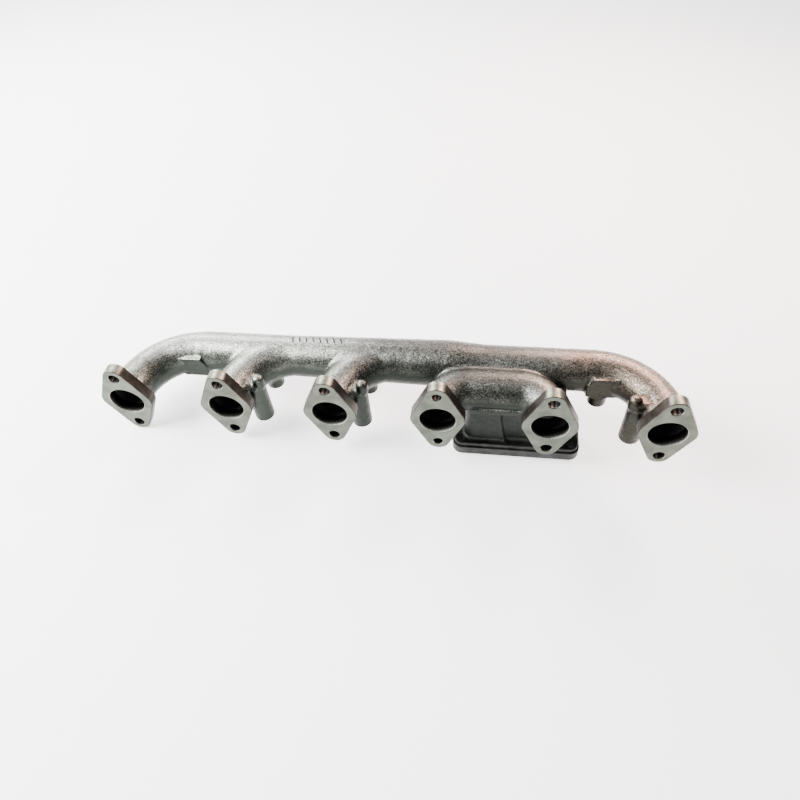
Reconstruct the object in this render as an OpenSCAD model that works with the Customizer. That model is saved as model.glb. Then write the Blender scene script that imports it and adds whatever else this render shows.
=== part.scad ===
// Six-port log exhaust manifold for an in-line six-cylinder diesel engine.
// One iron casting, laid out as the regions a foundry drawing names: six port
// flanges, six runners, the log, the collector, the turbo mounting and bosses.
// The origin is the middle of the port row, in the plane of the port faces.
// +X runs along the engine, the port faces look along -Y, +Z is up.

/* [Port row] */
// Distance from one port to the next
port_pitch = 120; // [112:1:130]
// Diameter of each gas port
port_bore_d = 40; // [36:0.5:40]

/* [Port flanges] */
// Thickness of a port flange
port_flange_t = 13; // [11:0.5:16]
// Width of a port flange across its middle
port_flange_w = 60; // [56:1:64]
// Distance between the two bolt holes of a port
port_bolt_gap = 77; // [74:1:82]
// Diameter of the bolt holes
port_bolt_d = 12.5; // [11:0.5:13]
// Diameter of the two tighter holes that locate the casting at port 4
locating_d = 10.5; // [10:0.25:11]
// Radius of the rounded ends round the bolt holes
port_end_r = 12.5; // [11:0.5:14]
// Radius of the rounded sides
port_side_r = 18; // [14:1:22]

/* [Pipes] */
// Radius of the centre line of the swept bends
bend_r = 71; // [68:1:76]
// Outer diameter of the runners
runner_d = 47.4; // [47:0.1:49]
// Outer diameter of the log where runner 1 flows into it
log_d = 48.8; // [48:0.1:50]
// Outer diameter of the log where it is widest, in front of port 4
log_peak_d = 55; // [52:0.5:57]
// Bore of the log
log_bore_d = 42; // [40:0.5:42]
// Outer diameter of the log beyond the collector
log_end_d = 48.4; // [48:0.1:50]

/* [Turbo mounting] */
// Distance of the mounting's centre from the middle of the port row
turbo_x = 148; // [144:1:152]
// Distance of its centre, and of the collector, behind the port faces
turbo_y = 47; // [46:0.5:48]
// Length of the turbo flange
turbo_flange_l = 147; // [144:1:150]
// Depth of the turbo flange
turbo_flange_w = 61.5; // [59:0.5:63]
// Height of the sealing face below the port row
turbo_drop = 83; // [80:1:88]
// Distance between the turbo bolt holes along the flange
turbo_bolt_l = 127; // [124:1:129]
// Distance between the turbo bolt holes across the flange
turbo_bolt_w = 44; // [43:0.5:45]
// Diameter of the turbo bolt holes
turbo_bolt_d = 9; // [8.5:0.5:10]
// Thickness of the wall between the two gas passages
divider_t = 8; // [6:1:10]

/* [Bosses] */
// Diameter of the tall posts beside ports 2, 3 and 6, at the foot
post_d = 23.5; // [22:0.5:25]
// Diameter of the short bosses under the log
boss_d = 21; // [19:0.5:22]

/* [Hidden] */
PORTS = [1:6];
POST_PORTS = [2, 3, 6];
$fn = 64;
eps = 0.01;
// Cutting bodies run past the faces they cut by over, half-spaces reach to far.
over = 1;
far = 500;

port_r = port_bore_d / 2;
runner_r = runner_d / 2;
log_r = log_d / 2;
log_end_r = log_end_d / 2;
log_bore_r = log_bore_d / 2;
log_y = port_flange_t + bend_r;
log_end_x = 2.5 * port_pitch - bend_r;
log_split_left = -port_pitch;
log_split_right = 66;
log_taper_l = 42;
log_peak_r = log_peak_d / 2;
tight_bend_r = turbo_y - port_flange_t;

// The collector's skirt and the outlet necks are rounded boxes under the pipes.
neck_x = [88, 200];
neck_front_y = 24.5;
neck_back_y = 72;
neck_corner_r = 13;
neck_step_x = 131;
neck_step_y = 3.5;
neck_top = -12.5;
neck_wall = 8;
skirt_lip = 3;
skirt_top = -5;
passage_x = [neck_x[0] + neck_wall, neck_x[1] - neck_wall];
passage_w = 36;
passage_corner_r = 10;
divider_x = (passage_x[0] + passage_x[1]) / 2;
window_margin = 8;
flange_top = -64;
flange_ledge = -70;
flange_inset = 2;
flange_corner_r = 12;
window_y = [58, 71];
window_z = [-20, -5];

post_side = 27.5;
post_y = 30;
post_foot = -48;
post_head = 6;
post_draft = 0.4;
knob_side = 33.5;
knob_y = 29;
knob_r = 6.9;
knob_top = 17;
web_x = [12, 34];
web_y = [24, 35];
web_z = [-10, 12];
boss_y = 66;
boss_foot = -31;
boss_head = -14;
boss_side = [36, 32, 64];

pad_x = [221, 253];
pad_front_y = 57.5;
pad_back_y = 72;
pad_z = [-15.5, 13];
pad_chamfer = 6;

tally_count = 8;
tally_x = [-118, -60];
tally_width = 2.2;
tally_lean = 20;
tally_turn = 10;
tally_length = 8;
tally_height = 1.2;
tally_root = 4;

// Place of port n along the row, and the way that its runner turns: 1 is +X.
function port_x(n) = (n - 3.5) * port_pitch;
function turn(n) = n < 5 ? 1 : -1;
function post_x(n) = port_x(n) + turn(n) * post_side;
function boss_x(n) = port_x(n) + turn(n) * boss_side[search(n, POST_PORTS)[0]];
function log_radius(x) =
    log_r + (log_peak_r - log_r) * (x - log_split_left) / (log_split_right - log_split_left);
function bolt_d(n) = n == 4 ? locating_d : port_bolt_d;

// Everything between two planes across X, behind the plane y0.
module slice(x0, x1, y0) {
    translate([x0, y0, -far])
        cube([x1 - x0, far, 2 * far]);
}

// A round bar along +Y from the port face and then a quarter bend along X.
module bar(n, r, centre_r, from_y) {
    translate([port_x(n), from_y, 0])
        rotate([-90, 0, 0])
            cylinder(r = r, h = port_flange_t - from_y);
    translate([port_x(n) + turn(n) * centre_r, port_flange_t, 0])
        rotate([0, 0, turn(n) > 0 ? 90 : 0])
            rotate_extrude(angle = 90)
                translate([centre_r, 0])
                    circle(r = r);
}

function centre_r(n) = n == 4 || n == 5 ? tight_bend_r : bend_r;
module runner_outside(n) {
    bar(n, runner_r, centre_r(n), port_flange_t - eps);
}
module runner_inside(n) {
    bar(n, port_r, centre_r(n), -over);
}

module log_bar(x0, x1, r0, r1) {
    translate([x0, log_y, 0])
        rotate([0, 90, 0])
            cylinder(r1 = r0, r2 = r1, h = x1 - x0);
}

// The log widens gently up to the collector and is slimmer beyond it.
module log_outside() {
    log_bar(-log_end_x, log_split_left, log_r, log_r);
    log_bar(log_split_left, log_split_right, log_r, log_peak_r);
    log_bar(log_split_right, log_split_right + log_taper_l, log_peak_r, log_end_r);
    log_bar(log_split_right + log_taper_l, log_end_x, log_end_r, log_end_r);
}

module collector_bar(r) {
    translate([port_x(4) + tight_bend_r, turbo_y, 0])
        rotate([0, 90, 0])
            cylinder(r = r, h = port_pitch - 2 * tight_bend_r);
}

// Runners 4 and 5 with the pipe that joins them.
module collector_outside() {
    runner_outside(4);
    collector_bar(runner_r);
    runner_outside(5);
}

module rounded_box(x0, x1, y0, y1, z0, z1, r) {
    translate([0, 0, z0])
        linear_extrude(z1 - z0)
            union() {
                translate([x0 + r, y0])
                    square([x1 - x0 - 2 * r, y1 - y0]);
                translate([x0, y0 + r])
                    square([x1 - x0, y1 - y0 - 2 * r]);
                for (x = [x0 + r, x1 - r])
                    for (y = [y0 + r, y1 - r])
                        translate([x, y])
                            circle(r = r);
            }
}

// Both gas passages as one tall box, from the sealing face up into the pipes.
module passages() {
    rounded_box(
        passage_x[0], passage_x[1],
        turbo_y - passage_w / 2, turbo_y + passage_w / 2,
        -turbo_drop - over, skirt_top, passage_corner_r
    );
}

// The way from the log's lower front wall down into the passages.
module log_window() {
    window_l = passage_x[1] - passage_x[0] - 2 * window_margin;
    translate([passage_x[0] + window_margin, window_y[0], window_z[0]])
        cube([window_l, window_y[1] - window_y[0], window_z[1] - window_z[0]]);
}

module neck_body() {
    rounded_box(
        neck_x[0], neck_x[1],
        neck_front_y, neck_back_y,
        flange_top, neck_top, neck_corner_r
    );
}

// Diamond flange with a bolt hole above and below the port.
module port_flange(n) {
    side_x = port_flange_w / 2 - port_side_r;
    bolt_z = port_bolt_gap / 2;
    color("gainsboro")
        difference() {
            translate([port_x(n), port_flange_t, 0])
                rotate([90, 0, 0])
                    linear_extrude(port_flange_t)
                        hull() {
                            for (s = [-1, 1]) {
                                translate([s * side_x, 0])
                                    circle(r = port_side_r);
                                translate([0, s * bolt_z])
                                    circle(r = port_end_r);
                            }
                        }
            runner_inside(n);
            for (s = [-1, 1])
                translate([port_x(n), -over, s * bolt_z])
                    rotate([-90, 0, 0])
                        cylinder(d = bolt_d(n), h = port_flange_t + 2 * over);
        }
}

// The swept runners end where they meet the log, the end ones flow into it.
module runner(n) {
    color("darkgray")
        difference() {
            intersection() {
                runner_outside(n);
                slice(-far, far, port_flange_t);
            }
            runner_inside(n);
            if (n == 2 || n == 3)
                log_outside();
            if (n == 4 || n == 5) {
                log_outside();
                passages();
            }
        }
}

module log_length(x0, x1) {
    intersection() {
        difference() {
            log_outside();
            log_bar(-log_end_x - over, log_end_x + over, log_bore_r, log_bore_r);
            for (n = [2, 3])
                runner_inside(n);
            log_window();
        }
        slice(x0, x1, 0);
    }
}

module log_left() {
    color("darkgray")
        log_length(-log_end_x, log_split_left);
}

module log_middle() {
    color("darkgray")
        log_length(log_split_left, log_split_right);
}

module log_right() {
    color("darkgray")
        log_length(log_split_right, log_end_x);
}

// The pipe that joins runners 4 and 5 in front of the log.
module collector() {
    color("darkgray")
        difference() {
            collector_bar(runner_r);
            collector_bar(port_r + eps);
            log_outside();
            passages();
        }
}

// The skirt widens the collector downwards and ends in a small lip.
module collector_skirt() {
    color("darkgray")
        difference() {
            rounded_box(
                neck_x[0], neck_x[1],
                neck_front_y - skirt_lip, neck_back_y,
                neck_top, skirt_top, neck_corner_r
            );
            collector_outside();
            log_outside();
            passages();
            log_window();
        }
}

module outlet_neck_left() {
    color("dimgray")
        intersection() {
            difference() {
                neck_body();
                passages();
                collector_outside();
                log_outside();
            }
            slice(0, neck_step_x, 0);
        }
}

// The right neck stands back from the left one, which shows as a step in front.
module outlet_neck_right() {
    color("dimgray")
        difference() {
            neck_body();
            passages();
            collector_outside();
            log_outside();
            slice(0, neck_step_x, 0);
            translate([0, neck_front_y + neck_step_y - far, -far])
                cube([far, far, 2 * far]);
        }
}

// The wall that keeps the gas of the front and rear cylinders apart.
module outlet_divider() {
    color("dimgray")
        translate([divider_x - divider_t / 2, turbo_y - passage_w / 2, -turbo_drop])
            cube([divider_t, passage_w, turbo_drop + neck_top]);
}

// The upper part of the turbo flange is cast a little smaller than its foot.
module turbo_flange() {
    half_l = turbo_flange_l / 2;
    half_w = turbo_flange_w / 2;
    color("dimgray")
        difference() {
            union() {
                rounded_box(
                    turbo_x - half_l, turbo_x + half_l,
                    turbo_y - half_w, turbo_y + half_w,
                    -turbo_drop, flange_ledge, flange_corner_r
                );
                rounded_box(
                    turbo_x - half_l + flange_inset, turbo_x + half_l - flange_inset,
                    turbo_y - half_w + flange_inset, turbo_y + half_w - flange_inset,
                    flange_ledge, flange_top, flange_corner_r - flange_inset
                );
            }
            passages();
            for (x = [-1, 1] * turbo_bolt_l / 2)
                for (y = [-1, 1] * turbo_bolt_w / 2)
                    translate([turbo_x + x, turbo_y + y, -turbo_drop - over])
                        cylinder(d = turbo_bolt_d, h = turbo_drop);
        }
}

// A post cast on the inner side of a bend, with a domed knob on its head and a
// web that ties the knob to the runner.
module post(n) {
    color("gray")
        difference() {
            union() {
                translate([post_x(n), post_y, post_foot])
                    cylinder(r1 = post_d / 2, r2 = post_d / 2 - post_draft, h = post_head - post_foot);
                translate([port_x(n) + turn(n) * knob_side, knob_y, post_head - over])
                    cylinder(r = knob_r, h = knob_top - post_head + over);
                translate([port_x(n) + turn(n) * knob_side, knob_y, knob_top])
                    sphere(r = knob_r);
                translate([port_x(n) + min(turn(n) * web_x), web_y[0], web_z[0]])
                    cube([web_x[1] - web_x[0], web_y[1] - web_y[0], web_z[1] - web_z[0]]);
            }
            runner_outside(n);
        }
}

module log_boss(n) {
    color("gray")
        difference() {
            translate([boss_x(n), boss_y, boss_foot])
                cylinder(d = boss_d, h = boss_head - boss_foot);
            log_outside();
            runner_outside(n);
            if (n == 6)
                elbow_pad_body(1);
        }
}

// A flat pad on the inner side of each end bend.
module elbow_pad_body(side) {
    x0 = pad_x[0];
    x1 = pad_x[1];
    z0 = pad_z[0];
    z1 = pad_z[1];
    c = pad_chamfer;
    translate([0, pad_back_y, 0])
        rotate([90, 0, 0])
            linear_extrude(pad_back_y - pad_front_y)
                scale_x(side)
                    polygon([
                        [x0, z0], [x1, z0], [x1, z1],
                        [x0 + c, z1], [x0, z1 - 2 * c]
                    ]);
}

// Mirrors a flat outline to the other end of the manifold when side is -1.
module scale_x(side) {
    if (side < 0)
        mirror([1, 0])
            children();
    else
        children();
}

module elbow_pad(n, side) {
    color("gray")
        difference() {
            elbow_pad_body(side);
            runner_outside(n);
            log_outside();
        }
}

// Plain raised tally bars on top of the log, as foundries use for a date mark.
module tally_bar(x) {
    intersection() {
        translate([x - tally_length, log_y, 0])
            rotate([0, 90, 0])
                cylinder(r = log_radius(x) + tally_height, h = 2 * tally_length);
        translate([x, log_y, 0])
            rotate([-tally_turn, 0, 0])
                rotate([0, 0, tally_lean])
                    translate([-tally_width / 2, -tally_length / 2, log_r - tally_root])
                        cube([tally_width, tally_length, 2 * tally_root]);
    }
}

module foundry_tally() {
    step = (tally_x[1] - tally_x[0]) / (tally_count - 1);
    color("silver")
        difference() {
            for (i = [0 : tally_count - 1])
                tally_bar(tally_x[0] + i * step);
            log_outside();
        }
}

for (n = PORTS)
    port_flange(n);
for (n = PORTS)
    runner(n);
log_left();
log_middle();
log_right();
collector();
collector_skirt();
outlet_neck_left();
outlet_neck_right();
outlet_divider();
turbo_flange();
for (n = POST_PORTS)
    post(n);
for (n = POST_PORTS)
    log_boss(n);
elbow_pad(1, -1);  // elbow_pad_left
elbow_pad(6, 1);  // elbow_pad_right
foundry_tally();
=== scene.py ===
import bpy
import bmesh
import numpy as np
from mathutils import Matrix, Vector


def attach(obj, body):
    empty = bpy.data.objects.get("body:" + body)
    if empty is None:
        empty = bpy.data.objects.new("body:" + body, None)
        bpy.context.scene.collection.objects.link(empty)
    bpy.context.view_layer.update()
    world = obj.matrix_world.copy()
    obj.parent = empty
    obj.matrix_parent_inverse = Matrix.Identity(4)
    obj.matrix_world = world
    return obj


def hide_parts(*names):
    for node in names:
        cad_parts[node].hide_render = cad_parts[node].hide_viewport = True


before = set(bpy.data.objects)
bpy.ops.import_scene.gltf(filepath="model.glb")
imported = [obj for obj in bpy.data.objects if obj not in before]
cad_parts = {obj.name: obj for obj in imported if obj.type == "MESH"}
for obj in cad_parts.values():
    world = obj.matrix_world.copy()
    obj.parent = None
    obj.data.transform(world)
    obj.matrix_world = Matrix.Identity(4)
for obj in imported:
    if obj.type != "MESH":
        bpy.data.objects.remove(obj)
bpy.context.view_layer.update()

# ---------------------------------------------------------------------------
# The casting's outside. One grey-iron casting poured in green sand: six curved
# runners, the long log, the collector and the outlet necks all flow into one
# another through the soft radii of the pattern. Lengths here are millimetres.
# ---------------------------------------------------------------------------
MM = 0.001
PITCH = 120.0
FLANGE_T = 13.0
BEND_R = 71.0
TIGHT_R = 34.0
LOG_Y = FLANGE_T + BEND_R
LOG_END_X = 2.5 * PITCH - BEND_R
SPLIT_LEFT, SPLIT_RIGHT = -120.0, 66.0
LOG_X = [-LOG_END_X, SPLIT_LEFT, SPLIT_RIGHT, 108.0, LOG_END_X]
LOG_R = [24.4, 24.4, 27.5, 24.2, 24.2]
RUNNER_R = 23.7
PORT_R = 20.0
LOG_BORE_R = 21.0
NECK = dict(x=(88.0, 200.0), y=(24.5, 72.0), corner=13.0, top=-12.5)
SKIRT_TOP = -5.0
STEP_X, STEP_Y = 131.0, 3.5
TURBO_Y = 47.0
FOOT_X, FOOT_Y, FOOT_Z, FOOT_CORNER = (74.5, 221.5), (16.25, 77.75), -83.0, 12.0
FLANGE_TOP = -64.0
SIDE_X, SIDE_R, LOBE_Z, LOBE_R = 12.0, 18.0, 38.5, 12.5
POSTS = (2, 3, 6)
POST = dict(side=27.5, y=30.0, foot=-48.0, head=6.0, foot_r=11.75, head_r=11.35)
KNOB = dict(side=33.5, y=29.0, foot=3.0, head=23.9, r=6.9)
BOSS = dict(side={2: 36.0, 3: 32.0, 6: 64.0}, y=66.0, foot=-31.0, head=-14.0, r=10.5)
PAD_X, PAD_Y, PAD_Z = (221.0, 253.0), (57.5, 72.0), (-15.5, 13.0)


def port_x(n):
    return (n - 3.5) * PITCH


def turn(n):
    return 1.0 if n < 5 else -1.0


def bend(n):
    return TIGHT_R if n in (4, 5) else BEND_R


def boss_x(n):
    return port_x(n) + turn(n) * BOSS["side"][n]


def unit(v):
    return v / np.maximum(np.linalg.norm(v, axis=-1, keepdims=True), 1e-6)


def from_line(p, near, r):
    """Distance and direction from points to a round bar whose middle is at near."""
    v = p - near
    return np.linalg.norm(v, axis=-1) - r, unit(v)


def near_bend(p, n):
    """The closest place on runner n's middle line: straight, quarter bend, straight."""
    cx, cy, r, t = port_x(n) + turn(n) * bend(n), FLANGE_T, bend(n), turn(n)
    qx, qy = p[:, 0] - cx, p[:, 1] - cy
    flat = np.maximum(np.hypot(qx, qy), 1e-6)
    nx, ny = cx + qx / flat * r, cy + qy / flat * r
    low = qy < 0
    nx, ny = np.where(low, port_x(n), nx), np.where(low, p[:, 1], ny)
    past = (t * qx > 0) & (qy >= 0)
    nx, ny = np.where(past, cx, nx), np.where(past, cy + r, ny)
    return np.stack([nx, ny, np.zeros_like(nx)], axis=1)


def bar_bend(p, n, r):
    return from_line(p, near_bend(p, n), r)


def bar_x(p, x0, x1, y, r):
    x = np.clip(p[:, 0], x0, x1)
    radius = np.interp(x, LOG_X, LOG_R) if r is None else r
    near = np.stack([x, np.full_like(x, y), np.zeros_like(x)], axis=1)
    return from_line(p, near, radius)


def rim_distance(a, b, edge):
    """Distance to a rounded rim, a from its side and b from its end face."""
    return np.hypot(np.maximum(a, 0), np.maximum(b, 0)) + np.minimum(np.maximum(a, b), 0) - edge


def rim_normal(side, up, a, b):
    wa, wb = np.maximum(a, 0), np.maximum(b, 0)
    deep = (wa + wb) == 0
    wa, wb = np.where(deep, a >= b, wa), np.where(deep, a < b, wb)
    return unit(np.concatenate([side * wa[:, None], (up * wb)[:, None]], axis=1))


def rounded_box(p, x, y, z, corner, edge):
    """A box standing on Z: its corners rounded by corner, its rims by edge."""
    mid = np.array([(x[0] + x[1]) / 2, (y[0] + y[1]) / 2, (z[0] + z[1]) / 2])
    half = np.array([(x[1] - x[0]) / 2, (y[1] - y[0]) / 2, (z[1] - z[0]) / 2])
    q = np.abs(p - mid)
    s = np.sign(p - mid)
    flat = q[:, :2] - (half[:2] - corner)
    out = np.maximum(flat, 0)
    side = np.linalg.norm(out, axis=1) + np.minimum(flat.max(axis=1), 0) - corner
    up = q[:, 2] - half[2]
    a, b = side + edge, up + edge
    d = rim_distance(a, b, edge)
    within = flat.max(axis=1) < 0
    pick = np.where(flat[:, :1] > flat[:, 1:], [[1.0, 0.0]], [[0.0, 1.0]])
    flat_n = unit(np.where(within[:, None], pick, out) * s[:, :2])
    return d, rim_normal(flat_n, s[:, 2], a, b)


def bar_z(p, x, y, z0, z1, r0, r1, edge):
    """An upright bar with rounded rims, r0 at its foot z0 and r1 at its head z1."""
    v = p[:, :2] - [x, y]
    flat = np.linalg.norm(v, axis=1)
    r = np.interp(p[:, 2], [z0, z1], [r0, r1])
    high = p[:, 2] - (z0 + z1) / 2
    a, b = flat - r + edge, np.abs(high) - (z1 - z0) / 2 + edge
    return rim_distance(a, b, edge), rim_normal(unit(v), np.sign(high), a, b)


def diamond(p, n, y0, y1):
    """The port flange's outline, a diamond with rounded ends, from y0 to y1."""
    qx, qz = np.abs(p[:, 0] - port_x(n)), np.abs(p[:, 2])
    ux, uz = -SIDE_X, LOBE_Z
    span = np.hypot(ux, uz)
    lean = (SIDE_R - LOBE_R) / span
    t = ((qx - SIDE_X) * ux + qz * uz) / span ** 2
    side = np.abs((qx - SIDE_X) * uz - qz * ux) / span
    t = np.clip(t + lean / np.sqrt(1 - lean ** 2) * side / span, 0, 1)
    d = np.hypot(qx - SIDE_X - ux * t, qz - uz * t) - (SIDE_R + (LOBE_R - SIDE_R) * t)
    core = -4.0
    d = np.where((qx < SIDE_X) & (qz < SIDE_R), np.minimum(d, core), d)
    v = unit(np.stack([(qx - ux * t - SIDE_X) * np.sign(p[:, 0] - port_x(n)), np.zeros_like(d),
                       (qz - uz * t) * np.sign(p[:, 2])], axis=1))
    face = np.maximum(y0 - p[:, 1], p[:, 1] - y1)
    v = np.where((face > d)[:, None], [[0.0, 1.0, 0.0]], v)
    return np.maximum(d, face), v


def blend(a, b, k):
    """Joins two shapes with a foundry radius k, which dies out where they run alike."""
    (da, na), (db, nb) = a, b
    apart = 1 - np.clip((na * nb).sum(axis=1), -1, 1)
    fully_apart = 0.55
    k = k * np.clip(apart / fully_apart, 0, 1) + 1e-3
    h = np.maximum(k - np.abs(da - db), 0) / k
    d = np.minimum(da, db) - h * h * k / 4
    w = np.where(da < db, 1 - h / 2, h / 2)[:, None]
    return d, unit(na * w + nb * (1 - w))


def added(shape, p, low, high, part, k):
    """Blends a part into the shape, worked out only where the part can matter."""
    near = np.all((p > low) & (p < high), axis=1)
    if near.any():
        d, n = blend((shape[0][near], shape[1][near]), part(p[near]), k)
        shape[0][near], shape[1][near] = d, n
    return shape


def outlet_necks(p):
    """The necks over the turbo flange: the right one stands back, on a slanting step."""
    tall, lap, rim = (-90.0, -8.0), (110.0, 150.0), 1.0
    x, back = NECK["x"], (NECK["y"][0] + STEP_Y, NECK["y"][1])
    left = rounded_box(p, (x[0], lap[1]), NECK["y"], tall, NECK["corner"], rim)
    right = rounded_box(p, (lap[0], x[1]), back, tall, NECK["corner"], rim)
    lean, mid_z = 0.15, -38.0
    slant = (p[:, 0] - STEP_X - lean * (mid_z - p[:, 2])) * 0.98
    left_n = np.where((slant > left[0])[:, None], [[1.0, 0.0, 0.0]], left[1])
    return blend((np.maximum(left[0], slant), left_n), right, 5.0)


def elbow_pad(p, s):
    """A flat pad on an end bend; its inner upper corner is cut away aslant."""
    pad = rounded_box(p, sorted((s * PAD_X[0], s * PAD_X[1])), PAD_Y, PAD_Z, 1.5, 1.2)
    cut_z, rise, run, long = 1.0, 12.0, 6.0, 13.4
    cut = (rise * (PAD_X[0] - s * p[:, 0]) + run * (p[:, 2] - cut_z)) / long
    n = np.where((cut > pad[0])[:, None], [[-0.9 * s, 0.0, 0.45]], pad[1])
    return np.maximum(pad[0], cut), n


def turning_pipes(shape, p, ports, r, radius_of):
    """Adds the runners that sweep into the log, each with its own foundry radius."""
    for n in ports:
        x = sorted((port_x(n) - turn(n) * 34.0, port_x(n) + turn(n) * 104.0))
        part = lambda q: bar_bend(q, n, r)
        shape = added(shape, p, (x[0], -90, -60), (x[1], 130, 60), part, radius_of[n])
    return shape


def collector_pipes(q, r, k):
    """Runners 4 and 5, which turn towards each other, and the pipe between them."""
    middle = bar_x(q, port_x(4) + TIGHT_R, port_x(5) - TIGHT_R, TURBO_Y, r)
    return blend(blend(bar_bend(q, 4, r), bar_bend(q, 5, r), k), middle, k)


def posts_and_bosses(shape, p):
    """Tall posts with a domed knob and a web, and the short bosses under the log."""
    for n in POSTS:
        x, t = port_x(n), turn(n)
        post_x, knob_x = x + t * POST["side"], x + t * KNOB["side"]
        post = lambda q: bar_z(q, post_x, POST["y"], POST["foot"], POST["head"],
                               POST["foot_r"], POST["head_r"], 2.4)
        knob = lambda q: bar_z(q, knob_x, KNOB["y"], KNOB["foot"], KNOB["head"], KNOB["r"],
                               KNOB["r"], KNOB["r"] - 0.2)
        web_x = sorted((x + t * 8.0, x + t * 36.0))
        web_top = 18.0 if n == 6 else 13.5
        web = lambda q: rounded_box(q, web_x, (21.0, 38.0), (-10.0, web_top), 6.0, 5.0)
        low = (x + t * 31 - 22, 8, -60)
        high = (x + t * 31 + 22, 52, 34)
        for part, k in ((post, 3.5), (web, 6.0), (knob, 2.5)):
            shape = added(shape, p, low, high, part, k)
        far = boss_x(n)
        boss = lambda q: bar_z(q, far, BOSS["y"], BOSS["foot"], BOSS["head"], BOSS["r"],
                               BOSS["r"], 2.0)
        shape = added(shape, p, (far - 22, 44, -45), (far + 22, 88, 12), boss, 4.5)
    return shape


def outside(p):
    """Distance to the casting's skin, with the slow unevenness that sand leaves."""
    shape = bar_x(p, -LOG_END_X, LOG_END_X, LOG_Y, None)
    shape = turning_pipes(shape, p, (1, 6, 2, 3), RUNNER_R, {1: 4.0, 6: 4.0, 2: 7.0, 3: 7.0})
    pipes = lambda q: collector_pipes(q, RUNNER_R, 5.0)
    shape = added(shape, p, (25, -90, -60), (215, 130, 60), pipes, 6.0)
    lip = (NECK["y"][0] - 3.2, NECK["y"][1])
    skirt = lambda q: rounded_box(q, NECK["x"], lip, (NECK["top"] - 0.5, SKIRT_TOP),
                                  NECK["corner"], 1.6)
    foot = lambda q: rounded_box(q, FOOT_X, FOOT_Y, (FOOT_Z, FLANGE_TOP), FOOT_CORNER, 0.5)
    for part, k in ((skirt, 1.5), (outlet_necks, 1.5), (foot, 5.0)):
        shape = added(shape, p, (65, -90, -120), (230, 100, 10), part, k)
    shape = posts_and_bosses(shape, p)
    for s, k in ((-1, 2.5), (1, 4.0)):
        mid = s * (PAD_X[0] + PAD_X[1]) / 2
        pad = lambda q: elbow_pad(q, s)
        shape = added(shape, p, (mid - 30, 45, -30), (mid + 30, 85, 28), pad, k)
    for n in range(1, 7):
        low = (port_x(n) - 42, -90, -65)
        high = (port_x(n) + 42, 27, 65)
        back = lambda q: diamond(q, n, 8.0, FLANGE_T - 0.1)
        shape = added(shape, p, low, high, back, 5.0)
    under_size, into_port_flange, into_foot = 0.15, 1.5, 2.0
    d = shape[0] + under_size
    for i, wave in enumerate(SKIN_WAVES):
        d = d + wave[3] * np.sin(p @ wave[:3] + i * 1.7)
    ends = np.maximum(FLANGE_T - into_port_flange - p[:, 1], FLANGE_TOP - into_foot - p[:, 2])
    return np.maximum(d, ends)


# Each wave: its direction and rate in radians a millimetre, then its height.
SKIN_WAVES = np.array([
    [0.29, 0.11, -0.17, 0.035], [-0.13, 0.33, 0.21, 0.030], [0.47, -0.25, 0.31, 0.022],
    [0.08, 0.52, -0.44, 0.020], [-0.61, 0.14, 0.38, 0.014], [0.33, 0.71, 0.12, 0.012],
])

# ---------------------------------------------------------------------------
# The gas ways. Sand cores leave round ways through the runners and the log and
# one tall box below the collector; they are rough and scaled, and their colour is
# painted nearly black as the shade deep inside them.
# ---------------------------------------------------------------------------
WAY_X, WAY_Y, WAY_CORNER = (96.0, 192.0), (29.0, 65.0), 10.0


def inside(p):
    """Distance to the walls of the gas ways, less than nothing within them."""
    ways = bar_x(p, -LOG_END_X, LOG_END_X, LOG_Y, LOG_BORE_R)
    ways = turning_pipes(ways, p, (1, 6, 2, 3), PORT_R, {n: 3.0 for n in (1, 6, 2, 3)})
    box = lambda q: rounded_box(q, WAY_X, WAY_Y, (-120.0, SKIRT_TOP), WAY_CORNER, 3.0)
    pipes = lambda q: blend(collector_pipes(q, PORT_R, 3.0), box(q), 4.0)
    ways = added(ways, p, (25, -90, -120), (215, 130, 60), pipes, 0.0)
    window = lambda q: rounded_box(q, (104.0, 184.0), (58.0, 71.0), (-20.0, -5.0), 3.0, 1.0)
    return added(ways, p, (90, 40, -35), (200, 90, 10), window, 1.0)[0]


def casting(p):
    return np.maximum(outside(p), -inside(p))


# ---------------------------------------------------------------------------
# The skin as a mesh. The shape is sampled on a regular lattice and a quad is
# laid across every lattice edge that it crosses; the corners are then moved
# exactly onto the shape, so that round iron reads round from any side.
# ---------------------------------------------------------------------------
LATTICE = 1.5


def in_blocks(shape, points, size=400000):
    return np.concatenate([shape(points[i:i + size]) for i in range(0, len(points), size)])


def slope(shape, points, reach=0.12):
    """How the distance grows along X, Y and Z: on the skin, its normal."""
    g = np.empty_like(points)
    for a in range(3):
        step = np.zeros(3)
        step[a] = reach
        rise = in_blocks(shape, points + step) - in_blocks(shape, points - step)
        g[:, a] = rise / (2 * reach)
    return g


def sampled(shape, low, count, cell, coarse=2):
    """The shape's distance on a lattice, worked out finely only next to the skin."""
    few = [c // coarse + 2 for c in count]
    axes = [l + cell * coarse * np.arange(c) for l, c in zip(low, few)]
    points = np.stack(np.meshgrid(*axes, indexing="ij"), axis=-1).reshape(-1, 3)
    rough = in_blocks(shape, points).reshape(few)
    near = [np.rint(np.arange(c) / coarse).astype(int) for c in count]
    d = rough[np.ix_(*near)]
    fine = np.argwhere(np.abs(d) < cell * (coarse + 2) * 0.9 + 0.5)
    d[tuple(fine.T)] = in_blocks(shape, np.array(low) + cell * fine)
    return without_pinches(d, cell)


def lattice_slice(axes, starts, lengths):
    """Slices that take lengths values from starts along the given axes of a lattice."""
    pick = [slice(None)] * 3
    for a, start, length in zip(axes, starts, lengths):
        pick[a] = slice(start, start + length)
    return tuple(pick)


SQUARE = ((0, 0), (0, 1), (1, 0), (1, 1))


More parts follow.
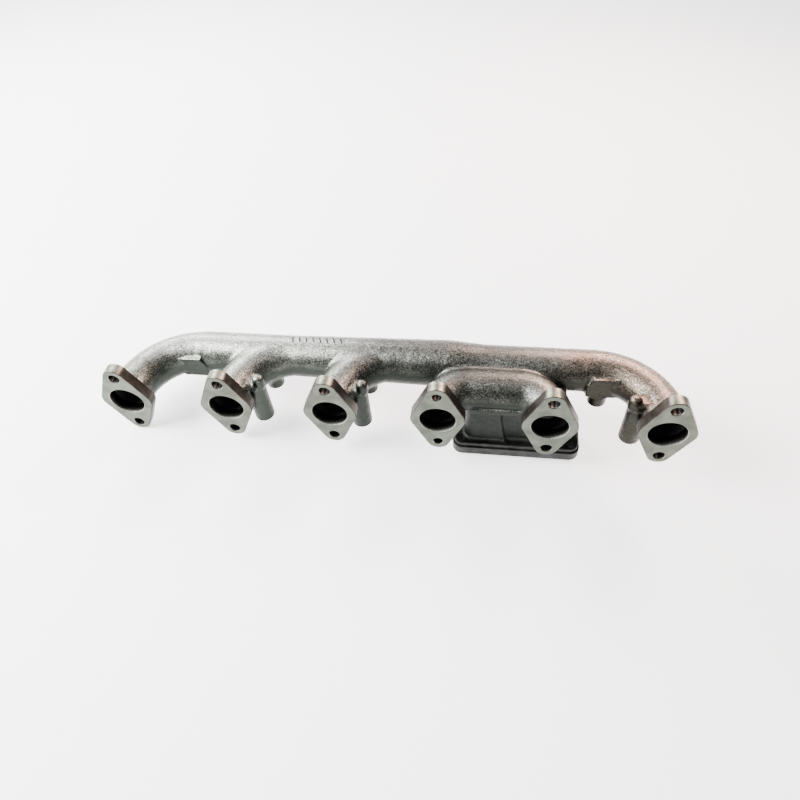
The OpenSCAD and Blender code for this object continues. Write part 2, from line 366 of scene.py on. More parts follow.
def without_pinches(d, cell, rounds=8):
    """Fills lattice squares whose corners are in and out crosswise: skins would touch there."""
    just_in = -0.05 * cell
    for _ in range(rounds):
        found = 0
        for axes in ((0, 1), (0, 2), (1, 2)):
            cells = [d.shape[a] - 1 for a in axes]
            corner = {at: d[lattice_slice(axes, at, cells)] for at in SQUARE}
            s = {at: v < 0 for at, v in corner.items()}
            cross = (s[0, 0] == s[1, 1]) & (s[0, 1] == s[1, 0]) & (s[0, 0] != s[0, 1])
            found += int(cross.sum())
            for at in ((0, 0), (0, 1)):
                corner[at][cross & ~s[at]] = just_in
        if not found:
            break
    return d


def skin_mesh(shape, low, high, cell):
    """Corners, one in each lattice cell that the skin passes through, and the quads."""
    count = [int(np.ceil((h - l) / cell)) + 1 for l, h in zip(low, high)]
    d = sampled(shape, low, count, cell)
    solid = d < 0
    cells = [c - 1 for c in count]
    total, hits = np.zeros(cells + [3]), np.zeros(cells)
    ends = [[lattice_slice((a,), (start,), (cells[a],)) for start in (0, 1)] for a in range(3)]
    for a, (lo, hi) in enumerate(ends):
        cross = solid[lo] != solid[hi]
        t = np.where(cross, d[lo] / np.where(cross, d[lo] - d[hi], 1), 0)
        b, c = [other for other in range(3) if other != a]
        for i, j in SQUARE:
            pick = lattice_slice((b, c), (i, j), (cells[b], cells[c]))
            hits += cross[pick]
            total[..., a] += np.where(cross[pick], t[pick], 0)
            total[..., b] += cross[pick] * i
            total[..., c] += cross[pick] * j
    crossed = hits > 0
    index = -np.ones(cells, np.int64)
    index[crossed] = np.arange(crossed.sum())
    middle = total[crossed] / hits[crossed][:, None]
    corners = np.array(low) + cell * (np.argwhere(crossed) + middle)
    quads = []
    for a, (lo, hi) in enumerate(ends):
        b, c = (a + 1) % 3, (a + 2) % 3
        edge = np.argwhere(solid[lo] != solid[hi])
        whole = (edge[:, b] > 0) & (edge[:, c] > 0)
        whole &= (edge[:, b] < cells[b]) & (edge[:, c] < cells[c])
        edge = edge[whole]
        ids = []
        for back_b, back_c in ((1, 1), (0, 1), (0, 0), (1, 0)):
            k = edge.copy()
            k[:, b] -= back_b
            k[:, c] -= back_c
            ids.append(index[tuple(k.T)])
        q = np.stack(ids, axis=1)
        outward = solid[lo][tuple(edge.T)]
        quads.append(np.where(outward[:, None], q, q[:, ::-1]))
    return corners, np.concatenate(quads)


def onto(shape, points, turns=3, furthest=0.8):
    """Moves points down the slope until they lie on the shape."""
    g = slope(shape, points)
    g = g / np.maximum((g * g).sum(axis=1), 0.2)[:, None]
    for _ in range(turns):
        move = np.clip(in_blocks(shape, points), -furthest, furthest)
        points = points - move[:, None] * g
    return points


LOW, HIGH = (-330.3, 10.3, -67.3), (330.3, 116.0, 54.0)
corners, quads = skin_mesh(casting, LOW, HIGH, LATTICE)
corners = onto(casting, corners)


# ---------------------------------------------------------------------------
# Cutting the casting into its named pieces. The real object is one pour, so the
# pieces meet on plain cuts with no gap, and each is closed on all its sides.
# ---------------------------------------------------------------------------
def new_mesh(name, points, faces):
    mesh = bpy.data.meshes.new(name)
    mesh.from_pydata([tuple(v) for v in points], [], [tuple(f) for f in faces])
    mesh.update()
    return mesh


def box_mesh(x, y, z):
    p = [(a, b, c) for a in x for b in y for c in z]
    f = [(0, 1, 3, 2), (4, 6, 7, 5), (0, 4, 5, 1), (2, 3, 7, 6), (0, 2, 6, 4), (1, 5, 7, 3)]
    return new_mesh("box", p, f)


def turned_outward(bm, mesh):
    bmesh.ops.recalc_face_normals(bm, faces=bm.faces)
    bm.to_mesh(mesh)
    bm.free()
    return mesh


def swept(middle, radii, around=96):
    """A closed round bar through the middle points, with a radius at each of them."""
    middle = np.array(middle, float)
    along = unit(np.gradient(middle, axis=0))
    up = np.array([0.0, 0.0, 1.0]) if abs(along[0][2]) < 0.9 else np.array([1.0, 0.0, 0.0])
    side = unit(np.cross(along, up))
    angle = np.linspace(0, 2 * np.pi, around, endpoint=False)
    ring = np.cos(angle)[None, :, None] * side[:, None] + np.sin(angle)[None, :, None] * up
    points = (middle[:, None] + ring * np.array(radii)[:, None, None]).reshape(-1, 3)
    faces = []
    for i in range(len(middle) - 1):
        for j in range(around):
            k = (j + 1) % around
            a, b = i * around, (i + 1) * around
            faces.append((a + j, a + k, b + k, b + j))
    last = (len(middle) - 1) * around
    faces.append(tuple(range(around))[::-1])
    faces.append(tuple(last + j for j in range(around)))
    mesh = new_mesh("bar", points, faces)
    bm = bmesh.new()
    bm.from_mesh(mesh)
    return turned_outward(bm, mesh)


def runner_line(n, steps=48):
    """Runner n's middle line, from in front of the port face to where the bend ends."""
    in_front = -5.0
    a = np.linspace(0, np.pi / 2, steps)
    x = port_x(n) + turn(n) * bend(n) * (1 - np.cos(a))
    y = FLANGE_T + bend(n) * np.sin(a)
    bent = np.stack([x, y, 0 * a], axis=1)
    return np.concatenate([[[port_x(n), in_front, 0.0]], bent])


def boolean(a, b, kind):
    """A mesh cut by, or kept inside, another closed mesh."""
    first = bpy.data.objects.new("first", a)
    second = bpy.data.objects.new("second", b)
    for ob in (first, second):
        bpy.context.scene.collection.objects.link(ob)
    cut = first.modifiers.new("cut", "BOOLEAN")
    cut.operation, cut.object, cut.solver = kind, second, "MANIFOLD"
    depsgraph = bpy.context.evaluated_depsgraph_get()
    mesh = bpy.data.meshes.new_from_object(first.evaluated_get(depsgraph), depsgraph=depsgraph)
    for ob in (first, second):
        bpy.data.objects.remove(ob)
    return mesh


def less(mesh, *others):
    for other in others:
        mesh = boolean(mesh, other, "DIFFERENCE")
    return mesh


def upright(x, y, z0, z1, r):
    return swept([(x, y, z0), (x, y, z1)], [r, r])


LOG_CUT_X = 235.0
log_bar = swept([(x, LOG_Y, 0) for x in (-LOG_CUT_X, *LOG_X[1:-1], LOG_CUT_X)], LOG_R)
runner_bar = {n: swept(line, [RUNNER_R] * len(line))
              for n, line in ((n, runner_line(n)) for n in range(1, 7))}
lap = 0.5
middle_x = (port_x(4) + TIGHT_R - lap, port_x(5) - TIGHT_R + lap)
collector_bar = swept([(x, TURBO_Y, 0) for x in middle_x], [RUNNER_R] * 2)

# The cutters go from small to large: each piece takes what is left inside its own.
# They stand off from posts and bosses by about a millimetre, to take the fillets in.
WIDE_Y, WIDE_Z = (5.0, 130.0), (-100.0, 70.0)
cutters = []
for s, n, side in ((-1, 1, "left"), (1, 6, "right")):
    off = 0.3
    x = sorted((s * (PAD_X[0] - off), s * (PAD_X[1] + off)))
    block = box_mesh(x, (PAD_Y[0] - off, PAD_Y[1]), (PAD_Z[0] - off, PAD_Z[1] + off))
    cutters.append(("elbow_pad_" + side, less(block, log_bar, runner_bar[n])))
for n in POSTS:
    post_x, knob_x = (port_x(n) + turn(n) * part["side"] for part in (POST, KNOB))
    post = upright(post_x, POST["y"], POST["foot"] - 1, POST["head"] + 3, 12.6)
    knob = upright(knob_x, KNOB["y"], KNOB["foot"] - 1, 25, KNOB["r"] + 1.3)
    cutters.append((f"post_{n}", less(boolean(post, knob, "UNION"), runner_bar[n])))
    boss = upright(boss_x(n), BOSS["y"], BOSS["foot"] - 1, BOSS["head"] + 2, BOSS["r"] + 1.2)
    cutters.append((f"log_boss_{n}", less(boss, log_bar, runner_bar[n])))
pipes = (log_bar, runner_bar[4], runner_bar[5], collector_bar)
# The necks part a little left of the step, clear of its slanting edge.
UNDER_X, UNDER_Y, NECK_SPLIT = (70, 225), (20.5, 100.0), STEP_X - 9.0
NECK_Z, SKIRT_Z = (-70, NECK["top"]), (NECK["top"], SKIRT_TOP)
for name, x, z in (("outlet_neck_left", (UNDER_X[0], NECK_SPLIT), NECK_Z),
                   ("outlet_neck_right", (NECK_SPLIT, UNDER_X[1]), NECK_Z),
                   ("collector_skirt", UNDER_X, SKIRT_Z)):
    cutters.append((name, less(box_mesh(x, UNDER_Y, z), *pipes)))
for name, x in (("runner_4", (20, 94)), ("collector", (94, 146)), ("runner_5", (146, 220)),
                ("runner_2", (-215, -105)), ("runner_3", (-95, 15))):
    cutters.append((name, less(box_mesh(x, (WIDE_Y[0], LOG_Y), WIDE_Z), log_bar)))
for name, x in (("runner_1", (-340, -LOG_END_X)), ("runner_6", (LOG_END_X, 340)),
                ("log_left", (-260, SPLIT_LEFT)), ("log_right", (SPLIT_RIGHT, 260))):
    cutters.append((name, box_mesh(x, WIDE_Y, WIDE_Z)))

rest = new_mesh("casting", corners, quads)
rest = less(rest, box_mesh((-400, 400), (0, FLANGE_T), (-120, 120)))
rest = less(rest, box_mesh((60, 240), (10, 100), (-120, FLANGE_TOP)))
cast_pieces = {}
for name, cutter in cutters:
    cast_pieces[name] = boolean(rest, cutter, "INTERSECT")
    rest = boolean(rest, cutter, "DIFFERENCE")
cast_pieces["log_middle"] = rest


# ---------------------------------------------------------------------------
# Iron surfaces. Everything is the same grey iron; what differs is what was done
# to it: shot-blasted sand skin, milled faces, scaled gas ways. Several colours are
# painted light and shade: lit tops and shaded undersides, a darker copy of the skin,
# holes and gas ways darkened to near black, and a foot painted dark.
# ---------------------------------------------------------------------------
def srgb(code):
    """A hex colour as the linear values that shaders work in."""
    parts = [int(code[i:i + 2], 16) / 255 for i in (1, 3, 5)]
    return [c / 12.92 if c <= 0.04045 else ((c + 0.055) / 1.055) ** 2.4 for c in parts] + [1.0]


def add(mat, kind, sockets=None, **settings):
    """Adds a node; sockets are values, or other nodes' outputs to be linked in."""
    node = mat.node_tree.nodes.new("ShaderNode" + kind)
    for key, value in settings.items():
        setattr(node, key, value)
    for key, value in (sockets or {}).items():
        if isinstance(value, bpy.types.NodeSocket):
            mat.node_tree.links.new(value, node.inputs[key])
        else:
            node.inputs[key].default_value = value
    return node


def ramp(mat, fac, *stops):
    node = add(mat, "ValToRGB", {"Fac": fac})
    ring = node.color_ramp
    while len(ring.elements) < len(stops):
        ring.elements.new(0.5)
    for e, (place, colour) in zip(ring.elements, stops):
        e.position, e.color = place, colour if isinstance(colour, list) else [colour] * 3 + [1]
    return node.outputs["Color"]


def noise(mat, where, size_mm, detail=2.0, rough=0.5):
    """Noise whose blobs are size_mm across."""
    sockets = {"Vector": where, "Scale": 1 / (size_mm * MM), "Detail": detail, "Roughness": rough}
    return add(mat, "TexNoise", sockets).outputs["Fac"]


def tinted(mat, fac, a, b, mode="MIX"):
    """Colour b laid over colour a; 6 and 7 are the Mix node's colour sockets."""
    node = add(mat, "Mix", {0: fac, 6: a, 7: b}, data_type="RGBA", blend_type=mode)
    return node.outputs[2]


def multiplied(mat, a, b):
    return tinted(mat, 1.0, a, b, "MULTIPLY")


def started(name):
    """An empty material, and the coordinates that its patterns are laid out in."""
    mat = bpy.data.materials.new(name)
    mat.use_nodes = True
    mat.node_tree.nodes.clear()
    return mat, add(mat, "TexCoord").outputs["Object"]


def part_of(mat, vector, axis):
    return add(mat, "SeparateXYZ", {"Vector": vector}).outputs[axis]


def facing_up(mat):
    return part_of(mat, add(mat, "TexCoord").outputs["Normal"], "Z")


def between(mat, value, low, high):
    return add(mat, "MapRange", {"Value": value, "From Min": low, "From Max": high}).outputs[0]


def roughened(mat, height, strength, deep_mm, over=None):
    """A bump deep_mm deep, on top of another one where that is given."""
    sockets = {"Height": height, "Strength": strength, "Distance": deep_mm * MM}
    if over:
        sockets["Normal"] = over
    return add(mat, "Bump", sockets).outputs["Normal"]


def finished(mat, **sockets):
    named = {k.replace("_", " "): v for k, v in sockets.items()}
    shader = add(mat, "BsdfPrincipled", named)
    add(mat, "OutputMaterial", {"Surface": shader.outputs["BSDF"]})
    return mat


def blasted_iron(name, lit, under, warm, rough, sparkle):
    """Sand-cast iron after shot blasting: the sand's grain glitters in bright specks of
    about a millimetre, kept to faces that turn up. The colour is painted light and shade:
    it runs from under to lit as faces turn up, mid-length is painted darker, and the
    right-hand end has a faint warm tint, partly rust and partly painted warm reflection."""
    mat, where = started(name)
    facing = facing_up(mat)
    along = between(mat, part_of(mat, where, "X"), -0.33, 0.33)
    fine = noise(mat, where, 1.5, 3.0, 0.75)
    coarse = noise(mat, where, 4.5, 2.0, 0.5)
    patch = noise(mat, where, 30.0, 3.0, 0.6)
    wander = add(mat, "Math", {0: patch, 1: 0.5}, operation="SUBTRACT").outputs[0]
    # Painted light and shade: the colour runs from the under colour to the lit one as faces turn up,
    # with a random patch.
    painted_light_by_facing = add(mat, "Math", {0: wander, 1: 0.7, 2: facing}, operation="MULTIPLY_ADD").outputs[0]
    colour = ramp(mat, painted_light_by_facing, (0.15, srgb(under)), (0.62, srgb("#8e918b")), (0.96, srgb(lit)))
    # Painted shade: the colour is darkened from mid-length rightwards, to about half in the middle.
    reach = ramp(mat, along, (0.36, 1.0), (0.48, 0.50), (0.66, 0.48), (0.78, 0.72))
    colour = multiplied(mat, colour, reach)
    # A warm tint on the right-hand end: partly a faint rust bloom, partly painted warm reflection.
    east = ramp(mat, along, (0.68, 0.0), (0.84, 1.0))
    rust_and_warm_reflection = add(mat, "Math", {0: east, 1: patch}, operation="MULTIPLY").outputs[0]
    colour = tinted(mat, ramp(mat, rust_and_warm_reflection, (0.2, 0.0), (0.6, 1.0)), colour, srgb(warm), "MULTIPLY")
    speck = ramp(mat, fine, (0.36, srgb("#575854")), (0.50, srgb("#a9aaa6")), (0.62, srgb("#ffffff")))
    plain = [0.42, 0.42, 0.42, 1.0]
    open_skin = ramp(mat, facing, (0.15, 0.0), (0.45, sparkle), (0.92, sparkle),
                     (1.0, 0.7 * sparkle))
    colour = multiplied(mat, colour, tinted(mat, open_skin, plain, speck))
    strength = add(mat, "MapRange", {"Value": open_skin, "To Min": 0.2, "To Max": 0.75}).outputs[0]
    low = roughened(mat, coarse, 0.7, 0.5)
    return finished(mat, Base_Color=colour, Metallic=1.0,
                    Roughness=ramp(mat, coarse, (0.3, rough - 0.06), (0.7, rough + 0.08)),
                    Normal=roughened(mat, fine, strength, 0.55, low))


def edge_iron(name, pale, warm):
    """The flanges' cast edges, ground smooth by hand. Their colour is painted light and shade:
    pale on faces that turn up, near black on faces that turn down, and brown on the
    slanted sides as a painted warm reflection."""
    mat, where = started(name)
    grain = noise(mat, where, 2.2, 3.0, 0.6)
    cloud = noise(mat, where, 9.0, 2.0, 0.5)
    # Painted light and shade by how far a face turns up.
    colour = ramp(mat, facing_up(mat), (0.0, srgb("#262422")), (0.3, srgb(warm)),
                  (0.62, srgb(warm)), (0.95, srgb(pale)))
    shade = ramp(mat, cloud, (0.35, srgb("#c4c2be")), (0.65, srgb("#ffffff")))
    return finished(mat, Base_Color=multiplied(mat, colour, shade), Metallic=1.0,
                    Roughness=0.42, Normal=roughened(mat, grain, 0.45, 0.2))


def cut_iron(name, lip, inner, rough, painted_shade_depth):
    """Bores and bolt holes cut by a boring bar or a drill: a lip as clean as the face,
    painted darker further in, down to near black, as the shade inside the hole."""
    mat, where = started(name)
    deep = between(mat, part_of(mat, where, "Y"), 0.0, FLANGE_T * MM)
    grain = noise(mat, where, 1.2, 3.0, 0.6)
    # Painted shade: the colour darkens with depth into the hole.
    colour = ramp(mat, deep, (0.02, srgb(lip)), (0.5 * painted_shade_depth, srgb(inner)), (painted_shade_depth, srgb("#141413")))
    shade = ramp(mat, grain, (0.35, srgb("#9a9894")), (0.65, srgb("#ffffff")))
    return finished(mat, Base_Color=multiplied(mat, colour, shade), Metallic=1.0,
                    Roughness=rough, Normal=roughened(mat, grain, 0.4, 0.15))


def milled_iron(name):
    """Port faces cut with a large face mill: nearly flat, greenish grey, with the faint
    arcs that the inserts leave some four millimetres apart."""
    mat, where = started(name)
    arcs_apart = 4.34 * MM
    arcs = add(mat, "TexWave", {"Vector": where, "Scale": 2 * np.pi / 20 / arcs_apart,
                                "Distortion": 1.5, "Detail": 2.0},
               wave_type="RINGS", rings_direction="Y").outputs["Fac"]
    grain = noise(mat, where, 0.8, 3.0, 0.6)
    cloud = noise(mat, where, 18.0, 2.0, 0.5)
    low = roughened(mat, arcs, 0.12, 0.05)
    return finished(mat, Metallic=1.0,
                    Base_Color=ramp(mat, cloud, (0.35, srgb("#474b42")), (0.65, srgb("#5c6057"))),
                    Roughness=ramp(mat, grain, (0.3, 0.36), (0.7, 0.5)),
                    Normal=roughened(mat, grain, 0.25, 0.06, low))


def scale_and_shade_iron(name):
    """The skin left by the sand cores in the gas ways: dark scale, painted near black and
    without shine as the shade deep in the ways and holes.
    """
    mat, where = started(name)
    fine = noise(mat, where, 1.6, 3.0, 0.6)
    colour = ramp(mat, fine, (0.3, srgb("#0a0a0a")), (0.7, srgb("#171615")))
    return finished(mat, Base_Color=colour, Metallic=0.0, Roughness=0.85,
                    Normal=roughened(mat, fine, 0.5, 0.3))


def shade_darkened_iron(name):
    """The turbo flange: its cast skin coloured very dark as painted shade, worn a little lighter in
    places.
    """
    mat, where = started(name)
    fine = noise(mat, where, 1.4, 3.0, 0.6)
    cloud = noise(mat, where, 14.0, 3.0, 0.6)
    colour = ramp(mat, cloud, (0.35, srgb("#1f201e")), (0.65, srgb("#383936")))
    return finished(mat, Base_Color=colour, Metallic=0.8, Roughness=0.5,
                    Normal=roughened(mat, fine, 0.6, 0.25))


SKIN = blasted_iron("sand_cast_iron_shot_blasted", "#dcddd7", "#4a5049", "#f6dccf", 0.38, 1.0)
# A darker copy of the skin, painted shade: for the outlet necks below the collector and for the tally
# bars, to outline their relief.
PAINTED_SHADE_SKIN = blasted_iron("sand_cast_iron_painted_shade", "#70736e", "#4d524e", "#dfe8e0", 0.5, 0.15)
EDGE = edge_iron("hand_ground_cast_iron", "#a3a496", "#4d4843")
BORED = cut_iron("bored_iron", "#b9bab1", "#4a4945", 0.55, 0.55)
DRILLED = cut_iron("drilled_iron", "#8a8b84", "#3a3936", 0.38, 0.45)
MILLED = milled_iron("face_milled_iron")
SCALE_AND_SHADE = scale_and_shade_iron("core_scale_and_painted_shade")
SHADE_DARKENED = shade_darkened_iron("cast_iron_painted_shade_dark")


# ---------------------------------------------------------------------------
# The cast pieces, put in the frame: shading follows the true shape of the skin,
# so the cuts between pieces don't show on what is one casting.
# ---------------------------------------------------------------------------
def without_crumbs(mesh, fewest=60):
    """Drops the crumbs that a cut leaves where it grazes the skin."""
    bm = bmesh.new()
    bm.from_mesh(mesh)
    unseen = set(bm.verts)
    while unseen:
        island, front = set(), [unseen.pop()]
        while front:
            v = front.pop()
            island.add(v)
            for e in v.link_edges:
                o = e.other_vert(v)
                if o in unseen:
                    unseen.discard(o)
                    front.append(o)
        if len(island) < fewest:
            bmesh.ops.delete(bm, geom=list(island), context="VERTS")
    bm.to_mesh(mesh)
    bm.free()


def read(items, what, wide=1, kind=float):
    """One value, or a row of wide values, for each of a mesh's items."""
    values = np.empty(len(items) * wide, kind)
    items.foreach_get(what, values)
    return values.reshape(-1, wide) if wide > 1 else values


def shaded(name, mesh, skin_material, near=0.35):
    """Makes a piece of the casting: skin, gas way or cut, each with its own shading."""
    without_crumbs(mesh)
    points, centre = read(mesh.vertices, "co", 3), read(mesh.polygons, "center", 3)
    flat = read(mesh.polygons, "normal", 3)
    on_skin = np.abs(in_blocks(outside, centre)) < near
    on_way = np.abs(in_blocks(inside, centre)) < near
    out_n, in_n = unit(slope(outside, points)), -unit(slope(inside, points))
    vertex = read(mesh.loops, "vertex_index", kind=np.int64)
    count = read(mesh.polygons, "loop_total", kind=np.int64)
    face = np.repeat(np.arange(len(count)), count)
    skin = on_skin[face] & ((out_n[vertex] * flat[face]).sum(axis=1) > 0.5)
    way = on_way[face] & ((in_n[vertex] * flat[face]).sum(axis=1) > 0.5)
    normal = np.where(skin[:, None], out_n[vertex], flat[face])
    normal = np.where((way & ~skin)[:, None], in_n[vertex], normal)
    mesh.materials.clear()
    mesh.materials.append(skin_material)
    # Gas-way faces take the near-black colour: scale and painted shade.
    mesh.materials.append(SCALE_AND_SHADE)
    mesh.polygons.foreach_set("material_index", (on_way & ~on_skin).astype(np.int32))
    mesh.polygons.foreach_set("use_smooth", np.ones(len(count), bool))
    mesh.transform(Matrix.Scale(MM, 4))
    mesh.normals_split_custom_set([tuple(v) for v in normal])
    mesh.update()
    placed(name, mesh)


def placed(name, mesh):
    mesh.name = name
    ob = bpy.data.objects.new(name + "_piece", mesh)
    bpy.context.scene.collection.objects.link(ob)
    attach(ob, "root")
    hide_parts(name)


for name, mesh in cast_pieces.items():
    neck = name.startswith("outlet")
    # The outlet necks take the darker copy of the skin: painted shade.
    shaded(name, mesh, PAINTED_SHADE_SKIN if neck else SKIN)


# ---------------------------------------------------------------------------
# Flat flanges. The six port flanges are cast with the runners and then milled
# flat in one line; the turbo flange is stepped. Rims carry a small chamfer.
# ---------------------------------------------------------------------------
def arcs(circles, grow, steps=20):
    """The outline round arcs, grown outwards: each arc is its centre, radius, first and
    last angle."""
    out = []
    for x, y, r, a0, a1 in circles:
        for a in np.radians(np.linspace(a0, a1, steps)):
            out.append((x + (r + grow) * np.cos(a), y + (r + grow) * np.sin(a)))
    return out


def ring_slab(name, rim, holes, materials):
    """A slab from rings of points: the rim and each hole are lists of (height, outline)
    from front to back. The two ends are filled round the holes. Its materials are those
    of the front face, the rim and back, the first hole and the other holes."""
    bm = bmesh.new()

    def wall(rings, part):
        made = [[bm.verts.new((x, y, h)) for x, y in line] for h, line in rings]
        for a, b in zip(made, made[1:]):
            for i in range(len(a)):
                j = (i + 1) % len(a)
                f = bm.faces.new((a[i], a[j], b[j], b[i]))
                f.material_index = part
        return made[0], made[-1]

    ends = [wall(rim, 1)] + [wall(h, 3 if k else 2) for k, h in enumerate(holes)]
    for side in (0, 1):
        edges = []
        for e in ends:
            ring = e[side]
            edges += [bm.edges.get((ring[i], ring[(i + 1) % len(ring)])) for i in range(len(ring))]
        made = bmesh.ops.triangle_fill(bm, use_beauty=True, use_dissolve=False, edges=edges)
        for f in made["geom"]:
            if isinstance(f, bmesh.types.BMFace):
                f.material_index = 0 if side == 0 else 1
    bmesh.ops.recalc_face_normals(bm, faces=bm.faces)
    for f in bm.faces:
        f.smooth = True
    for e in bm.edges:
        e.smooth = len(e.link_faces) == 2 and e.calc_face_angle() < 0.5
    mesh = bpy.data.meshes.new(name)
    bm.to_mesh(mesh)
    bm.free()
    for m in materials:
        mesh.materials.append(m)
    return mesh


def round_hole(x, y, r, heights, steps=48):
    full = [(x, y, r, 0, 360 - 360 / steps)]
    return [(h, arcs(full, g, steps)) for h, g in heights]


def diamond_outline(grow):
    lean = np.degrees(np.arcsin((SIDE_R - LOBE_R) / np.hypot(SIDE_X, LOBE_Z)))
    a = np.degrees(np.arctan2(SIDE_X, LOBE_Z)) + lean
    return arcs([(SIDE_X, 0, SIDE_R, -a, a), (0, LOBE_Z, LOBE_R, a, 180 - a),
                 (-SIDE_X, 0, SIDE_R, 180 - a, 180 + a),
                 (0, -LOBE_Z, LOBE_R, 180 + a, 360 - a)], grow)


BOLT_D, LOCATING_D = 12.5, 10.5
back = FLANGE_T
for n in range(1, 7):
    bolt_r = (LOCATING_D if n == 4 else BOLT_D) / 2
    rim = [(h, diamond_outline(g)) for h, g in ((0, -0.7), (0.7, 0), (back - 0.8, 0), (back, -0.8))]
    holes = [round_hole(0, 0, PORT_R, ((0, 0.6), (0.6, 0), (back, 0)), 96)]
    chamfers = ((0, 0.7), (0.7, 0), (back - 0.4, 0), (back, 0.4))
    holes += [round_hole(0, z, bolt_r, chamfers) for z in (-LOBE_Z, LOBE_Z)]
    mesh = ring_slab(f"port_flange_{n}", rim, holes, (MILLED, EDGE, BORED, DRILLED))
    turned = Matrix(((1, 0, 0, port_x(n)), (0, 0, 1, 0), (0, 1, 0, 0), (0, 0, 0, 1)))
    mesh.transform(Matrix.Scale(MM, 4) @ turned)
    mesh.flip_normals()
    placed(f"port_flange_{n}", mesh)


def oblong(x, y, corner, grow):
    cx, cy = (x[0] + x[1]) / 2, (y[0] + y[1]) / 2
    hx, hy = (x[1] - x[0]) / 2 - corner, (y[1] - y[0]) / 2 - corner
    turns = ((1, -1, -90), (1, 1, 0), (-1, 1, 90), (-1, -1, 180))
    return arcs([(cx + a * hx, cy + b * hy, corner, t, t + 90) for a, b, t in turns], grow)


def middle(pair):
    return (pair[0] + pair[1]) / 2


LEDGE = -70.0
rim = [(h, oblong(FOOT_X, FOOT_Y, FOOT_CORNER, g))
       for h, g in ((FOOT_Z, -0.6), (FOOT_Z + 0.6, 0), (LEDGE - 0.9, 0), (LEDGE - 0.1, -0.7),
                    (LEDGE, -2.0), (FLANGE_TOP - 1.0, -2.0), (FLANGE_TOP, -2.9))]
holes = [[(h, oblong(WAY_X, WAY_Y, WAY_CORNER, 0)) for h in (FOOT_Z, FLANGE_TOP)]]
FOOT_BOLT_R, FOOT_BOLT_X, FOOT_BOLT_Y = 4.5, 63.5, 22.0
chamfers = ((FOOT_Z, 0.5), (FOOT_Z + 0.5, 0), (FLANGE_TOP, 0))
for a in (-FOOT_BOLT_X, FOOT_BOLT_X):
    for b in (-FOOT_BOLT_Y, FOOT_BOLT_Y):
        holes.append(round_hole(middle(FOOT_X) + a, middle(FOOT_Y) + b, FOOT_BOLT_R, chamfers))
# The rim and back take the very dark colour, the way and bolt holes the near-black one: both painted
# shade.
mesh = ring_slab("turbo_flange", rim, holes, (MILLED, SHADE_DARKENED, SCALE_AND_SHADE, SCALE_AND_SHADE))
mesh.transform(Matrix.Scale(MM, 4))
placed("turbo_flange", mesh)

# The wall between the two gas passages, cast with the necks and milled with the foot.
DIVIDER_T = 8.0
divider_x = (middle(WAY_X) - DIVIDER_T / 2, middle(WAY_X) + DIVIDER_T / 2)
mesh = box_mesh(divider_x, WAY_Y, (FOOT_Z, NECK["top"]))
mesh.transform(Matrix.Scale(MM, 4))
# Near black: scale and painted shade deep between the passages.
mesh.materials.append(SCALE_AND_SHADE)
placed("outlet_divider", mesh)


# ---------------------------------------------------------------------------
# The raised mark on top of the log. The pattern carries a foundry's mark there;
# it is built as a plain row of slanted tally bars, drafted as pattern letters are.
# ---------------------------------------------------------------------------
def tally_bar(bm, x, across=7, along=13):
    """One slanted bar wrapped round the log, a rounded top over a sunken foot."""
    width, length, height, sink = 2.2, 8.0, 1.2, 0.6
    lean, tip = np.radians(20.0), np.radians(10.0)
    top = []
    for a in np.linspace(-1, 1, across):
        for b in np.linspace(-1, 1, along):
            edge = min(1 - abs(a), (1 - abs(b)) * length / width)
            px = x + a * width / 2 * np.cos(lean) - b * length / 2 * np.sin(lean)
            around = a * width / 2 * np.sin(lean) + b * length / 2 * np.cos(lean)
            r = np.interp(px, LOG_X, LOG_R)
            turned = tip + around / r
            h = r - sink + (height + sink) * min(1.0, edge / 0.3) ** 0.6
            top.append((px, LOG_Y + h * np.sin(turned), h * np.cos(turned)))
    shrunk = 0.94
    low = [(px, LOG_Y + (py - LOG_Y) * shrunk, pz * shrunk) for px, py, pz in top]
    tv = [bm.verts.new(p) for p in top]
    lv = [bm.verts.new(p) for p in low]
    at = lambda i, j: i * along + j
    for i in range(across - 1):
        for j in range(along - 1):
            q = (at(i, j), at(i + 1, j), at(i + 1, j + 1), at(i, j + 1))
            bm.faces.new([tv[k] for k in q])
            bm.faces.new([lv[k] for k in q[::-1]])
    loop = [at(i, 0) for i in range(across)] + [at(across - 1, j) for j in range(1, along)]
    loop += [at(i, along - 1) for i in range(across - 2, -1, -1)]
    loop += [at(0, j) for j in range(along - 2, 0, -1)]
    for i in range(len(loop)):
        a, b = loop[i], loop[(i + 1) % len(loop)]
        bm.faces.new((lv[a], lv[b], tv[b], tv[a]))


TALLY_X, TALLY_COUNT = (-118, -60), 8
bm = bmesh.new()
for x in np.linspace(*TALLY_X, TALLY_COUNT):
    tally_bar(bm, x)
for f in bm.faces:
    f.smooth = True
mesh = turned_outward(bm, bpy.data.meshes.new("foundry_tally"))
mesh.transform(Matrix.Scale(MM, 4))
# The bars take the darker copy of the skin: painted shade that outlines their relief.
mesh.materials.append(PAINTED_SHADE_SKIN)
placed("foundry_tally", mesh)


# ---------------------------------------------------------------------------
# Floor, light and camera. The manifold lies on a flat white floor as it would on a
# bench: on its turbo flange and on the lower lobe of port flange 1.
# ---------------------------------------------------------------------------
def white_paper():
    """Matt white seamless paper that glows a little, as paper lit from behind does."""
    mat, _ = started("white_paper")
    return finished(mat, Base_Color=srgb("#ffffff"), Roughness=0.9, Emission_Color=srgb("#ffffff"),
                    Emission_Strength=2.0)


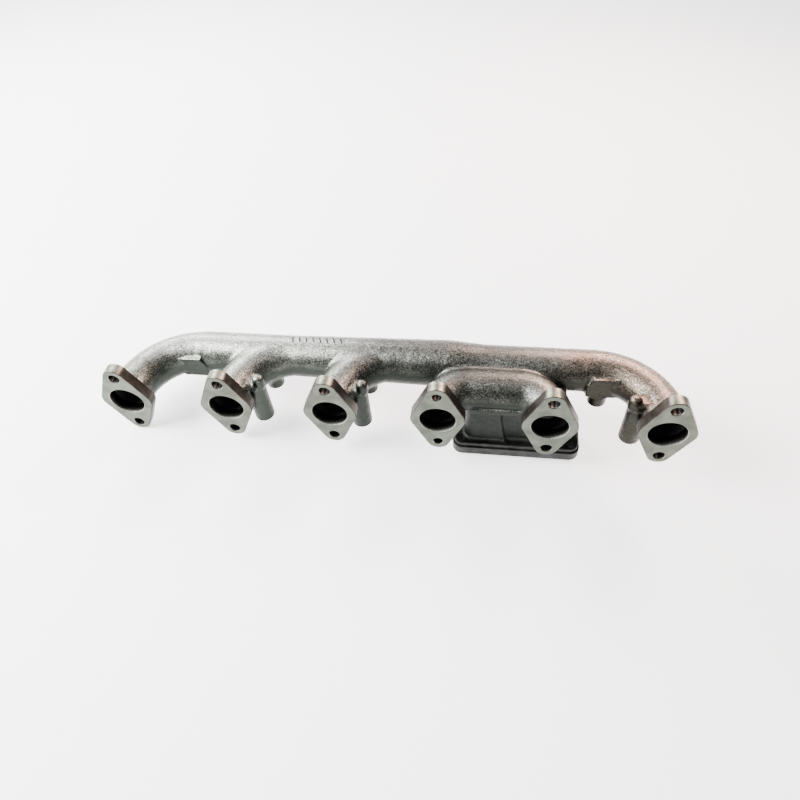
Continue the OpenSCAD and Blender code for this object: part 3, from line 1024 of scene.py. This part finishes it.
LOBE_LOW, FOOT_LOW, CLEAR = -51.0, -83.3, 0.3
rest_slope = (FOOT_LOW - LOBE_LOW) / (FOOT_X[0] - port_x(1))
FLOOR = 12000.0
points = []
for x, y in ((-FLOOR, -FLOOR), (FLOOR, -FLOOR), (FLOOR, FLOOR), (-FLOOR, FLOOR)):
    z = LOBE_LOW - CLEAR + rest_slope * (x - port_x(1))
    points.append((x * MM, y * MM, z * MM))
floor_mesh = new_mesh("floor", points, [(0, 1, 2, 3)])
floor_mesh.materials.append(white_paper())
floor = bpy.data.objects.new("floor", floor_mesh)
bpy.context.scene.collection.objects.link(floor)


def softbox(name, place, target, wide, high, power, colour):
    data = bpy.data.lights.new(name, "AREA")
    data.shape, data.size, data.size_y = "RECTANGLE", wide, high
    data.energy, data.color = power, srgb(colour)[:3]
    ob = bpy.data.objects.new(name, data)
    bpy.context.scene.collection.objects.link(ob)
    ob.location = place
    ob.rotation_euler = (Vector(target) - Vector(place)).to_track_quat("-Z", "Y").to_euler()


softbox("left_box", (-1.25, -0.25, 1.15), (-0.25, 0.05, 0.0), 1.0, 0.9, 120.0, "#ffffff")
softbox("back_left_box", (-0.75, 1.05, 0.75), (-0.15, 0.08, 0.0), 0.8, 0.3, 26.0, "#ffffff")
softbox("back_right_box", (0.65, 0.95, 0.75), (0.22, 0.08, 0.0), 0.5, 0.25, 26.0, "#ffddd0")
world = bpy.data.worlds.new("studio")
bpy.context.scene.world = world
world.use_nodes = True
background = world.node_tree.nodes["Background"].inputs
background["Color"].default_value = srgb("#f2f4f6")
background["Strength"].default_value = 0.27

camera_data = bpy.data.cameras.new("camera")
camera = bpy.data.objects.new("camera", camera_data)
bpy.context.scene.collection.objects.link(camera)
camera_data.sensor_width, camera_data.lens = 36.0, 29.506
back = Vector((0.12876, -0.61850, 0.77517)).normalized()
up = back.cross(Vector((0.98998, 0.12590, -0.06398))).normalized()
right = up.cross(back)
camera.matrix_world = Matrix((
    (right.x, up.x, back.x, 0.11024), (right.y, up.y, back.y, -0.42816),
    (right.z, up.z, back.z, 0.56856), (0, 0, 0, 1)))
bpy.context.scene.camera = camera
